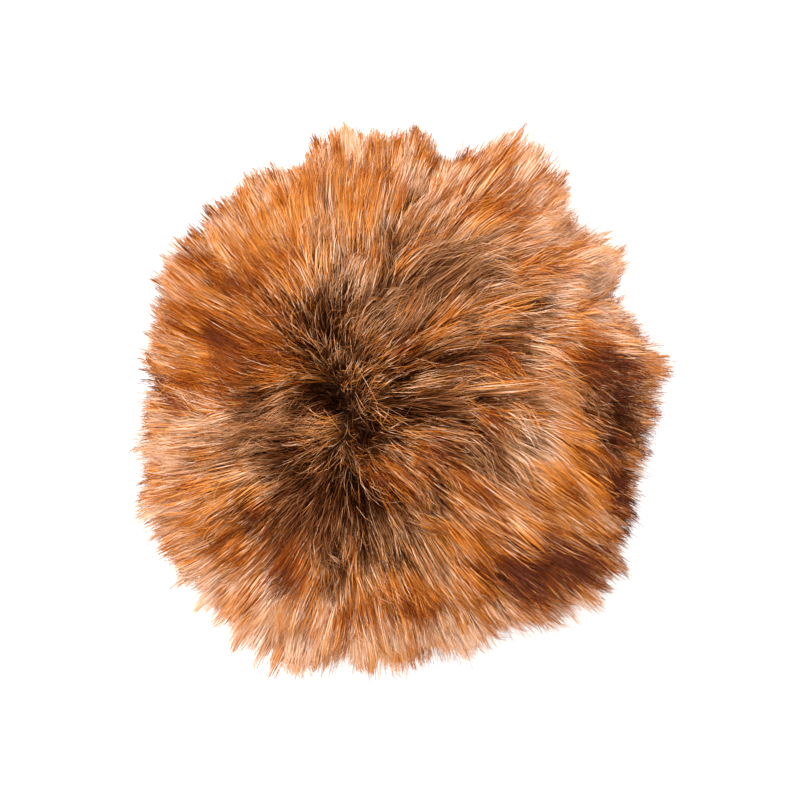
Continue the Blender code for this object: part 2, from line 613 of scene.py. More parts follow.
# How common each tone is from the parting to the outline, by the share of the way, and past it
# round to the flat spot at 2. The numbers in a row need no fixed sum. The pale tones at the
# outline are partly the coat's own colour and partly painted light that shines through the hair
# there.
RINGS = np.array((
    # share, espresso, taupe, ash, cream, pale, tan, orange, rust, chestnut, chocolate
    (0.00, 62, 20, 0, 0, 0, 4, 8, 6, 0, 0),
    (0.20, 52, 28, 3, 0, 0, 4, 7, 6, 0, 0),
    (0.36, 40, 36, 7, 2, 0, 3, 6, 6, 0, 0),
    (0.50, 18, 32, 16, 6, 0, 9, 10, 9, 0, 0),
    (0.66, 4, 16, 17, 14, 2, 19, 17, 11, 0, 0),
    (0.82, 0, 5, 10, 17, 9, 24, 23, 12, 0, 0),
    (0.94, 0, 0, 5, 20, 24, 21, 18, 12, 0, 0),
    (1.04, 0, 0, 0, 16, 50, 17, 10, 7, 0, 0),
    (1.25, 0, 0, 0, 22, 44, 17, 11, 6, 0, 0),
    (2.00, 0, 0, 8, 30, 24, 20, 12, 6, 0, 0),
))


@dataclass(frozen=True)
class Patch:
    """A patch of the coat where one tone takes over.

    Attributes:
        tone: The tone that takes over.
        x: Place of its middle towards +X, in millimetres, as seen from above.
        y: Place of its middle towards +Y, in millimetres.
        length: Half its length in millimetres.
        width: Half its width in millimetres.
        turn: Angle of its length from +X, counterclockwise, in degrees.
        strength: The share of hairs that take the tone at its middle.
    """

    tone: Tone
    x: float
    y: float
    length: float
    width: float
    turn: float
    strength: float


PATCHES = tuple(Patch(*row) for row in (
    # tone, x, y, length, width, turn, strength
    # the dark crown, which reaches down and to the left
    (Tone.TAUPE, -37, -19, 12, 19, 20, 0.85), (Tone.ESPRESSO, -36, -25, 9, 8, 0, 0.82),
    (Tone.TAUPE, -12, -42, 18, 8, 0, 0.60), (Tone.ESPRESSO, -18, -31, 16, 11, 80, 0.88),
    (Tone.ESPRESSO, -31, -35, 14, 9, -20, 0.90), (Tone.TAUPE, -15, -6, 9, 9, 0, 0.60),
    (Tone.ESPRESSO, -21, -3, 9, 8, 0, 0.80), (Tone.ESPRESSO, -1, 12, 11, 7, 20, 0.72),
    (Tone.ASH, -37, 3, 7, 7, 0, 0.80), (Tone.TAN, -37, 5, 5, 5, 0, 0.35),
    (Tone.ASH, -15, -17, 6, 6, 0, 0.35), (Tone.ASH, -7, -36, 9, 4, 110, 0.50),
    (Tone.ESPRESSO, -27, 19, 9, 5, 120, 0.60), (Tone.ESPRESSO, 5, 15, 10, 5, 40, 0.75),
    (Tone.RUST, 4, 14, 7, 5, 40, 0.40), (Tone.TAUPE, -5, 33, 8, 5, 90, 0.50),
    (Tone.ESPRESSO, 2, 0, 9, 4, 20, 0.45), (Tone.ESPRESSO, -25, 4, 5, 5, 0, 0.65),
    (Tone.TAN, 16, -6, 6, 3, -10, 0.50),
    # dark streaks that run on out of the crown
    (Tone.ESPRESSO, 10, 12, 12, 3, 30, 0.60), (Tone.TAN, 15, 17, 6, 4, 30, 0.50),
    (Tone.TAN, 21, 4, 10, 4, 5, 0.45), (Tone.TAUPE, 22, -9, 15, 9, -20, 0.85),
    (Tone.ESPRESSO, 22, -10, 14, 9, -20, 0.70), (Tone.CHESTNUT, 17, -26, 14, 3.5, -45, 0.50),
    (Tone.TAUPE, 13, 35, 10, 6, 35, 0.85), (Tone.TAUPE, -2, 32, 14, 7, 60, 0.75),
    (Tone.TAUPE, -24, 28, 9, 6, 100, 0.90), (Tone.RUST, -36, 30, 7, 9, 60, 0.60),
    (Tone.TAUPE, 10, 46, 8, 4, 40, 0.25), (Tone.RUST, -10, 42, 5, 8, 90, 0.35),
    # bright tufts in the crown
    (Tone.TAN, -23, 16, 7, 4.5, 100, 0.90), (Tone.ASH, 4, 26, 9, 5, 50, 0.30),
    (Tone.ORANGE, -10, 5, 4, 2.5, 30, 0.80), (Tone.TAN, 5, 6, 6, 3, 30, 0.50),
    (Tone.ESPRESSO, 6, -3, 9, 3, -10, 0.50), (Tone.TAN, -21, -6, 4, 4, 90, 0.55),
    (Tone.ORANGE, 6, -10, 8, 2.5, -25, 0.65), (Tone.ORANGE, 13, -18, 9, 3.5, -45, 0.80),
    (Tone.ORANGE, 11, 20, 8, 2.5, 45, 0.60), (Tone.TAN, 22, 20, 7, 3, 25, 0.70),
    # the rusty upper left, with its dark spots
    (Tone.RUST, -42, 14, 15, 13, 0, 0.80), (Tone.CHESTNUT, -36, 23, 6, 4, 0, 0.40),
    (Tone.CHESTNUT, -46, 22, 4, 3.5, 100, 1.00), (Tone.CHESTNUT, -46, 12, 5, 4, 60, 0.40),
    (Tone.RUST, -55, 5, 7, 7, 0, 0.85), (Tone.CHESTNUT, -55, 6, 5, 4, 0, 0.45),
    (Tone.CHESTNUT, -39, 16, 6, 4, 130, 0.50), (Tone.ORANGE, -50, 28, 7, 8, 60, 0.50),
    (Tone.ORANGE, -33, 8, 5, 3, 150, 0.60), (Tone.ORANGE, -57, 20, 8, 6, 60, 0.55),
    (Tone.TAN, -34, 41, 13, 9, 40, 0.60), (Tone.TAN, -20, 50, 10, 9, 20, 0.50),
    (Tone.RUST, -34, 34, 6, 4, 30, 0.35), (Tone.ORANGE, -9, 52, 5, 6, 90, 0.60),
    (Tone.RUST, 0, 55, 4, 7, 70, 0.20), (Tone.CREAM, -15, 34, 7, 5, 90, 0.40),
    (Tone.ASH, -12, 25, 9, 6, 0, 0.65),
    # the left and lower left
    (Tone.ORANGE, -55, 7, 7, 8, 0, 0.55), (Tone.CREAM, -52, -3, 6, 6, 0, 0.50),
    (Tone.PALE, -61, -12, 12, 6, 90, 0.65), (Tone.ASH, -42, -12, 7, 7, 0, 0.45),
    (Tone.ORANGE, -52, -28, 8, 6, 30, 0.45), (Tone.RUST, -46, -35, 6, 4, 40, 0.45),
    (Tone.TAN, -45, -24, 6, 5, 30, 0.50), (Tone.RUST, -35, -43, 8, 6, 45, 0.50),
    (Tone.RUST, -25, -54, 7, 5, 60, 0.95), (Tone.ORANGE, -24, -47, 5, 3, 60, 0.50),
    # the lower side
    (Tone.PALE, -33, -59, 16, 9, -20, 1.00), (Tone.PALE, -40, -54, 9, 5, -40, 0.65),
    (Tone.PALE, -8, -66, 20, 8, 0, 1.00), (Tone.CREAM, -12, -58, 12, 4, 0, 0.45),
    (Tone.ASH, 10, -57, 12, 5, 10, 0.35), (Tone.RUST, 3, -51, 8, 5, -60, 0.55),
    (Tone.RUST, -13, -53, 8, 4, 80, 0.55), (Tone.RUST, -4, -50, 7, 5, 80, 0.45),
    (Tone.ORANGE, 16, -35, 12, 6, -30, 0.60), (Tone.RUST, 26, -24, 8, 5, -40, 0.25),
    (Tone.TAN, 36, -31, 9, 4, -20, 0.50), (Tone.CHESTNUT, 19, -42, 5, 4, 0, 0.30),
    (Tone.PALE, 18, -61, 18, 6, 12, 0.55), (Tone.RUST, 33, -55, 8, 4, 12, 0.35),
    # the right side
    (Tone.CREAM, 34, -12, 8, 8, 60, 0.45), (Tone.CHESTNUT, 26, -5, 8, 4, 0, 0.45),
    (Tone.CHESTNUT, 12, -15, 10, 4, -30, 0.55), (Tone.TAUPE, 19, -16, 11, 5, -20, 0.75),
    (Tone.TAN, 43, -24, 9, 8, 120, 0.50), (Tone.TAN, 43, 4, 5, 11, 10, 0.40),
    (Tone.CREAM, 38, 15, 6, 5, 0, 0.45), (Tone.CHESTNUT, 26, 14, 8, 5, 10, 0.75),
    (Tone.ESPRESSO, 25, 15, 9, 5, 10, 0.55), (Tone.ORANGE, 47.5, -15, 20, 4, 88, 0.75),
    (Tone.TAN, 44, -16, 10, 5, 90, 0.50), (Tone.RUST, 46, 6, 8, 6, 110, 0.50),
    (Tone.RUST, 36, 5, 6, 5, 0, 0.35), (Tone.RUST, 46, 13, 7, 6, 130, 0.85),
    (Tone.TAN, 43, -1, 5, 6, 0, 0.40), (Tone.RUST, 36, 34, 7, 5, 20, 0.45),
    (Tone.PALE, 46, 32, 8, 7, 150, 0.70), (Tone.PALE, 56, 22, 8, 7, 130, 0.60),
    (Tone.CHOCOLATE, 56, -5, 15, 7.5, 87, 1.00), (Tone.ESPRESSO, 56, -5, 12, 7, 87, 1.00),
    (Tone.CHOCOLATE, 54, 6, 9, 6, 110, 0.90), (Tone.CHOCOLATE, 58, -29, 11, 4, 95, 0.65),
    (Tone.CHOCOLATE, 35, -43, 10, 8, 5, 1.00), (Tone.CHOCOLATE, 46, -41, 8, 5, 15, 0.85),
    (Tone.CHESTNUT, 49, -46, 6, 4, 30, 0.60),
    # the upper right
    (Tone.PALE, 53, 31, 11, 9, 30, 1.00), (Tone.PALE, 42, 46, 10, 8, 60, 0.85),
    (Tone.RUST, 36, 22, 8, 3, 150, 0.35), (Tone.RUST, 25, 50, 9, 6, 50, 0.45),
    (Tone.RUST, 6, 48, 6, 8, 70, 0.20), (Tone.RUST, -54, 33, 6, 6, 40, 0.50),
    (Tone.CREAM, 14, 54, 7, 5, 50, 0.45), (Tone.CREAM, -4, 62, 7, 5, 0, 0.40),
    (Tone.RUST, 5, 66, 3, 3, 60, 0.45),
))


# Slope and bend of a curve that is near to the share of a normal spread below a number
BELL_SLOPE = 0.7979
BELL_CUBE = 0.0447
# How fine the waves of a noise are, as shares of its fineness: the broadest and the finest
WAVE_RANGE = (0.5, 1.5)


def bell_share(spread: np.ndarray) -> np.ndarray:
    """Turn normally spread numbers into evenly spread ones from 0 to 1."""
    return 0.5 * (1 + np.tanh(BELL_SLOPE * (spread + BELL_CUBE * spread**3)))


@dataclass
class SoftNoise:
    """Numbers that change smoothly over the ball, spread round 0.

    Attributes:
        rng: A seeded source of chance.
        fineness: How many radians a wave turns in a radian of the ball.
        waves: How many waves are added up.
    """

    rng: np.random.Generator
    fineness: float
    waves: int = 40

    def __post_init__(self) -> None:
        """Draw the waves."""
        heading = unit(self.rng.normal(size=(self.waves, 3)))
        self.pull = heading * self.fineness * self.rng.uniform(*WAVE_RANGE, (self.waves, 1))
        self.start = self.rng.uniform(0, 2 * math.pi, self.waves)

    def at(self, directions: np.ndarray) -> np.ndarray:
        """Read the noise in directions, as numbers with a spread of 1."""
        return np.sin(directions @ self.pull.T + self.start).sum(1) * math.sqrt(2 / self.waves)


@dataclass
class ToneMap:
    """Tells how common each tone is in each place.

    Elevations are sines of the angle above level, as seen from the ball's middle.

    Attributes:
        ball: The ball that the hair fills.
        rng: A seeded source of chance.
        patch_floor: Elevation below which the patches have no hold.
        patch_blend: Over what rise above that they gain their full hold.
        patch_edge: Power that makes their edges steeper, above 1.
        side_top: Elevation above which the sides' own patches have no hold.
        side_blend: Over what fall below that they gain their full hold.
        side_level: Level of the noise above which there is a patch.
        side_gain: How fast its hold grows above that level.
        side_hold: The most that it holds.
    """

    ball: FurBall
    rng: np.random.Generator
    patch_floor: float = -0.35
    patch_blend: float = 0.25
    patch_edge: float = 1.5
    side_top: float = 0.25
    side_blend: float = 0.4
    side_level: float = 0.5
    side_gain: float = 0.9
    side_hold: float = 0.8

    def __post_init__(self) -> None:
        """Draw the broad patches of the sides and the underside."""
        self.side_noise = {
            Tone.ORANGE: SoftNoise(self.rng, fineness=4.5),
            Tone.CHESTNUT: SoftNoise(self.rng, fineness=3.5),
            Tone.ASH: SoftNoise(self.rng, fineness=5.0),
        }

    def weights(self, directions: np.ndarray, shift: np.ndarray) -> np.ndarray:
        """Tell how common each tone is in each place.

        Args:
            directions: Unit vectors to where the hairs show, one a row.
            shift: How far each hair reaches over the edges of the patches, in millimetres.

        Returns:
            A row of shares for each place, in the order of Tone.
        """
        share = self.ball.share_of_way(directions)
        knots = RINGS[:, 0]
        mixes = RINGS[:, 1:] / RINGS[:, 1:].sum(1, keepdims=True)
        mixed = np.stack([np.interp(share, knots, column) for column in mixes.T], 1)
        self._add_side_patches(mixed, directions)
        self._add_patches(mixed, directions, shift)
        return mixed

    @staticmethod
    def _take_over(mixed: np.ndarray, tone: Tone, hold: np.ndarray) -> None:
        """Let a tone take the share in hold of the hairs in each place of mixed."""
        mixed *= (1 - hold)[:, None]
        mixed[:, tone.value] += hold

    def _add_patches(self, mixed: np.ndarray, directions: np.ndarray, shift: np.ndarray) -> None:
        """Let the patches take over their share of the hairs on the upper side.

        Args:
            mixed: The shares of the tones, which this changes.
            directions: Where they hold.
            shift: How far each hair reaches over the edges of the patches, in millimetres.
        """
        flat = directions[:, :2] * self.ball.outer_radius(directions)[:, None] / MM + shift
        upper = eased((directions[:, 2] - self.patch_floor) / self.patch_blend)
        for patch in PATCHES:
            turn = math.radians(patch.turn)
            away = flat - (patch.x, patch.y)
            along = (away @ (math.cos(turn), math.sin(turn))) / patch.length
            beside = (away @ (-math.sin(turn), math.cos(turn))) / patch.width
            fall = np.exp(-((along**2 + beside**2) ** self.patch_edge))
            self._take_over(mixed, patch.tone, patch.strength * upper * fall)

    def _add_side_patches(self, mixed: np.ndarray, directions: np.ndarray) -> None:
        """Give the sides and the underside broad patches of their own.

        Args:
            mixed: The shares of the tones, which this changes.
            directions: Where they hold.
        """
        lower = eased((self.side_top - directions[:, 2]) / self.side_blend)
        for tone, soft in self.side_noise.items():
            hold = (soft.at(directions) - self.side_level) * self.side_gain
            self._take_over(mixed, tone, lower * np.clip(hold, 0, self.side_hold))

    @staticmethod
    def choose(weights: np.ndarray, share: np.ndarray) -> np.ndarray:
        """Choose tones by their weights.

        Args:
            weights: A row of shares for each place.
            share: A number from 0 to 1 for each place. Near numbers choose near tones.

        Returns:
            A tone for each place, which may lie between two rows of the colour map.
        """
        limits = np.cumsum(weights, 1) / weights.sum(1, keepdims=True)
        centres = limits - 0.5 * weights / weights.sum(1, keepdims=True)
        tone = np.zeros(len(share))
        for row in range(len(Tone) - 1):
            gap = np.maximum(centres[:, row + 1] - centres[:, row], TINY)
            tone += np.clip((share - centres[:, row]) / gap, 0, 1)
        return tone


# ---------------------------------------------------------------- the hair


@dataclass(frozen=True)
class HairKind:
    """A kind of hair.

    Attributes:
        name: The name of its pieces.
        pieces: How many pieces it is shared out over.
        count: How many hairs there are on the whole ball.
        thickness: Width of a hair where it is thickest, in metres.
        shortest: Length of the shortest, as a share of its wisp's.
        longest: Length of the longest, as a share of its wisp's.
        gather: How closely the hairs of a wisp draw together at their tips, from 0 to 1.
        waver: How far a hair's heading strays from the flow, in degrees.
        bow: How far a hair bows from a smooth line, in metres.
        paleness: How much lighter it is than the pile, in the colour map.
        lowest: Sine of the elevation of its lowest roots, as seen from the ball's middle.
        highest: Sine of the elevation of its highest roots.
        first_section: The section it starts at, where what lies below it can't be seen.
    """

    name: str
    pieces: int
    count: int
    thickness: float
    shortest: float
    longest: float
    gather: float
    waver: float
    bow: float
    paleness: float = 0.0
    lowest: float = -1.0
    highest: float = 1.0
    first_section: int = 0


PILE = HairKind("pile", 4, 122000, 0.18 * MM, 0.62, 1.00, 0.70, 8.0, 0.25 * MM)
HAIR_TIPS = HairKind("hair_tips", 2, 84000, 0.16 * MM, 0.70, 1.02, 0.60, 9.0, 0.20 * MM,
                     paleness=-0.10, first_section=2)
FLYAWAY_HAIR = HairKind("flyaway_hair", 1, 2600, 0.11 * MM, 0.98, 1.08, 0.0, 22.0, 1.6 * MM,
                        paleness=0.12)
FRINGE_HAIR = HairKind("fringe_hair", 1, 20000, 0.08 * MM, 1.00, 1.12, 0.2, 12.0, 0.6 * MM,
                       paleness=0.10, lowest=-0.3, highest=0.4)


@dataclass(frozen=True)
class LockHabit:
    """How the locks grow. Lengths are shares of the way from the skin to the outline.

    Attributes:
        count: How many there are on the whole ball.
        jitter: How unevenly they are spread, as a share of the distance between them.
        shortest: Length of the shortest.
        variation: How much longer the longest is.
        bias: Power that makes short ones more common, above 1.
        waver: How far a heading strays from the flow, in degrees.
        crown_waver: How much further it strays in the crown, as a share more.
        dip: How much shorter they are along the parting, as a share.
        dip_reach: How far from the parting line the dip reaches, in degrees.
        tone_reach: How far their tones reach over the edges of patches, in millimetres.
    """

    count: int = 1700
    jitter: float = 0.32
    shortest: float = 0.80
    variation: float = 0.28
    bias: float = 1.4
    waver: float = 11.0
    crown_waver: float = 1.6
    dip: float = 0.17
    dip_reach: float = 30.0
    tone_reach: float = 1.0


@dataclass(frozen=True)
class WispHabit:
    """How the wisps grow, and how their tones vary in their locks and from lock to lock.

    Spreads are of tone, in the normal spread that chooses it. Lights are in the colour map.

    Attributes:
        count: How many there are on the whole ball.
        jitter: How unevenly they are spread, as a share of the distance between them.
        shortest: Length of the shortest, as a share of its lock's.
        waver: How far a heading strays from the flow, in degrees.
        draw: How closely they are drawn to their locks at the tips, from 0 to 1.
        draw_bend: Power by which that grows from the root.
        lock_spread: Spread from lock to lock.
        lock_spread_in_crown: How much more that is in the crown.
        spread: Spread within a lock.
        spread_in_crown: How much more that is in the crown.
        broad_spread: Spread over broad areas.
        lock_light: How lightness varies from lock to lock.
        light: How it varies within a lock.
        tone_reach: How far tones reach over the edges of patches, in millimetres.
        lock_tip: How much of a wisp's dark tip is its lock's.
        tip: How much is its own.
    """

    count: int = 11000
    jitter: float = 0.40
    shortest: float = 0.72
    waver: float = 12.0
    draw: float = 0.84
    draw_bend: float = 1.8
    lock_spread: float = 0.46
    lock_spread_in_crown: float = 0.30
    spread: float = 0.52
    spread_in_crown: float = -0.14
    broad_spread: float = 0.14
    lock_light: float = 0.09
    light: float = 0.15
    tone_reach: float = 1.3
    lock_tip: float = 0.75
    tip: float = 0.5


@dataclass(frozen=True)
class StrandHabit:
    """How single hairs grow, and how their tones vary in their wisps.

    Attributes:
        jitter: How unevenly they are spread, as a share of the distance between them.
        long_bias: Power that makes long hairs more common, above 1.
        loosest: How firmly the loosest hair gathers, as a share of the firmest.
        gather_bend: Power by which hairs draw together from root to tip.
        crown_bow: How much more hairs bow in the crown, as a share more.
        crown_bow_reach: How far from the parting line that reaches, in degrees.
        floor_lift: How far above the floor's gap the hairs underneath may end, in metres.
        thinnest: Width of the thinnest, as a share of its kind's.
        thickest: Width of the thickest.
        crown_width: Width of a hair at the parting, as a share of its width elsewhere.
        crown_width_reach: How far from the parting line that reaches, in degrees.
        spread: How tones vary, in the normal spread that chooses them.
        mottle: How they vary in fine mottles.
        light: How lightness varies, in the colour map.
        long_light: How much lighter the longest hair is than the shortest: painted light on the long
            hairs on top, and painted shade on the short ones beneath.
        even_rank: How long the hair is that is neither lighter nor darker, from 0 to 1.
        bright_share: The share of bright hairs.
        bright_light: How much lighter they are.
        light_limit: Lightness past which the lightest hairs are held back.
        light_slope: The share that is left of what is past it.
        dark_share: The share of dark hairs.
        dark_light: How much darker they are.
        dark_spread: How far their tones move towards the warm and dark end.
        tone_reach: How far tones reach over the edges of patches, in millimetres.
    """

    jitter: float = 0.45
    long_bias: float = 1.6
    loosest: float = 0.7
    gather_bend: float = 1.3
    crown_bow: float = 0.6
    crown_bow_reach: float = 45.0
    floor_lift: float = 2.0 * MM
    thinnest: float = 0.7
    thickest: float = 1.25
    crown_width: float = 0.72
    crown_width_reach: float = 30.0
    spread: float = 0.42
    mottle: float = 0.38
    light: float = 0.15
    long_light: float = 0.14
    even_rank: float = 0.75
    bright_share: float = 0.10
    bright_light: float = 0.12
    light_limit: float = 0.08
    light_slope: float = 0.35
    dark_share: float = 0.22
    dark_light: float = 0.40
    dark_spread: float = 0.5
    tone_reach: float = 0.7


# The sections of a hair, from its root at 0 to its tip at 1, and its width at all but the tip
SECTIONS = np.array([0.0, 0.30, 0.57, 0.80, 1.0])
SECTION_WIDTHS = np.array([0.90, 1.0, 0.92, 0.62])
# Powers by which a hair leans over late and rises early
BEND = 1.2
RISE = 1.8
# The share of a difference in length by which a leading path is drawn in or out
FITTING = 0.36
# How much more headings stray in the crown, and how far from the parting line, in degrees
CROWN_TOUSLE = 4.0
CROWN_TOUSLE_REACH = 14.0
CROWN_WAVER_REACH = 40.0
# How much the sweep strays for each degree of waver, as a share and in degrees
SWEEP_SHARE_STRAY = 0.01
SWEEP_STRAY = 0.35
# How firmly hair gathers on the parting line, and how far from it, in degrees, that changes
PARTING_HOLD = 0.2
PARTING_HOLD_REACH = 18.0
# How far a strand is rolled about its own line, in degrees
STRAND_ROLL = 30.0

# The share of the roots that grow hair, by the sine of their elevation: few underneath, where
# the ball lies on them
ROOTS_KEPT = (
    (-1.0, 0.0), (-0.93, 0.50), (-0.6, 0.55), (-0.1, 0.85), (0.3, 1.0),
)

# Heights in the coat, from the skin at 0 to the tip of the lock at 1, and what hair is like there
HEIGHTS = (0.0, 0.42, 0.62, 0.80, 0.95)
# How light it is: in the dark crown, and where the coat is warm or pale. Low in the coat this is painted
# shade over the hair's own dark roots.
CROWN_LIGHTNESS = (0.03, 0.14, 0.37, 0.64, 0.85)
RIM_LIGHTNESS = (0.40, 0.70, 0.85, 0.81, 0.62)
# How the tone changes of warm hair and of pale hair, in rows of the colour map
WARM_DRIFT = (-1.4, -1.2, -0.6, 0.6, 1.8)
PALE_DRIFT = (0.0, 0.0, 0.0, 0.7, 2.4)
# The tones, in rows of the colour map, from which hair belongs to the light rim and is warm,
# and over how many rows it comes to be warm
RIM_TONE = 1.5
WARM_TONE = 3.6
WARM_BLEND = 1.4
# The share of cream and pale hair from which a place is a pale one
PALE_PLACE = 0.30
# Elsewhere hairs of the palest tone are darker, and their neighbours less so
STRAY_PALE_SHADE = 0.34
PALEST_TONE = 3.7
PALEST_BLEND = 1.4
PALEST_LEVEL = 1.2
# How much lightness varies at the root, as a share, and in the crown and at the rim
ROOT_CONTRAST = 0.3
CROWN_CONTRAST = 1.2
RIM_CONTRAST = 0.58
# The limits of lightness in the colour map, and how far they rise from section to section, so
# that no face of a hair shrinks to a point there. MAP_WIDTH is how wide a hair is in the map.
DARKEST = 0.01
LIGHTEST = 0.95
LIMIT_STEP = 0.006
MAP_WIDTH = 0.0007


def spread_on_ball(count: int, rng: np.random.Generator, jitter: float) -> np.ndarray:
    """Spread points evenly over a ball.

    Args:
        count: How many.
        rng: A seeded source of chance.
        jitter: How far a point strays, as a share of the distance between points.

    Returns:
        Unit vectors, one a row.
    """
    index = np.arange(count) + 0.5
    up = 1 - 2 * index / count
    azimuth = math.pi * (1 + math.sqrt(5)) * index
    flat = np.sqrt(1 - up**2)
    points = np.stack([flat * np.cos(azimuth), flat * np.sin(azimuth), up], 1)
    points += rng.normal(0, jitter * math.sqrt(4 * math.pi / count), points.shape)
    return unit(points)


def nearest_of(seats: np.ndarray, directions: np.ndarray) -> np.ndarray:
    """Find the nearest seat to each direction.

    Args:
        seats: Unit vectors, one a row.
        directions: Unit vectors, one a row.

    Returns:
        The row of the nearest seat for each direction.
    """
    tree = kdtree.KDTree(len(seats))
    for index, seat in enumerate(seats):
        tree.insert(Vector(seat), index)
    tree.balance()
    return np.array([tree.find(Vector(direction))[1] for direction in directions])


@dataclass
class HairSet:
    """What sets the paths of many hairs: one row of each array for each hair.

    Attributes:
        roots: Unit vectors from the ball's middle to the roots.
        sweep: How far tips are swept from above their roots, in radians.
        stray: How far hairs stray from the flow, counterclockwise in degrees.
        length: Length as a share of the way from the skin to the outline.
    """

    roots: np.ndarray
    sweep: np.ndarray
    stray: np.ndarray
    length: np.ndarray

    def paths(self, ball: FurBall) -> np.ndarray:
        """Work out where the hairs run, section by section along the flow.

        Args:
            ball: The ball that the hair fills.

        Returns:
            Points by hair, section and axis.
        """
        pointing = [self.roots]
        for start, end in zip(SECTIONS, SECTIONS[1:]):
            here = pointing[-1]
            turn = (self.sweep * (end**BEND - start**BEND))[:, None]
            heading = ball.flow(here, self.stray)
            pointing.append(unit(here * np.cos(turn) + heading * np.sin(turn)))
        root_radius = ball.root_radius_at(self.roots)
        rise = (ball.outer_radius(pointing[-1]) - root_radius) * self.length
        points = []
        for share, direction in zip(SECTIONS, pointing):
            radius = root_radius + rise * (1 - (1 - share) ** RISE)
            points.append(ball.middle + direction * radius[:, None])
        return np.stack(points, 1)


@dataclass
class Hairs:
    """Many hairs, ready to be made into meshes.

    Attributes:
        paths: Points by hair, section and axis.
        places: Places in the colour map by hair and section: lightness, then tone.
        thick: Width of each hair where it is thickest, in metres.
    """

    paths: np.ndarray
    places: np.ndarray
    thick: np.ndarray

    def only(self, members: np.ndarray) -> "Hairs":
        """Pick out some of the hairs."""
        return Hairs(self.paths[members], self.places[members], self.thick[members])


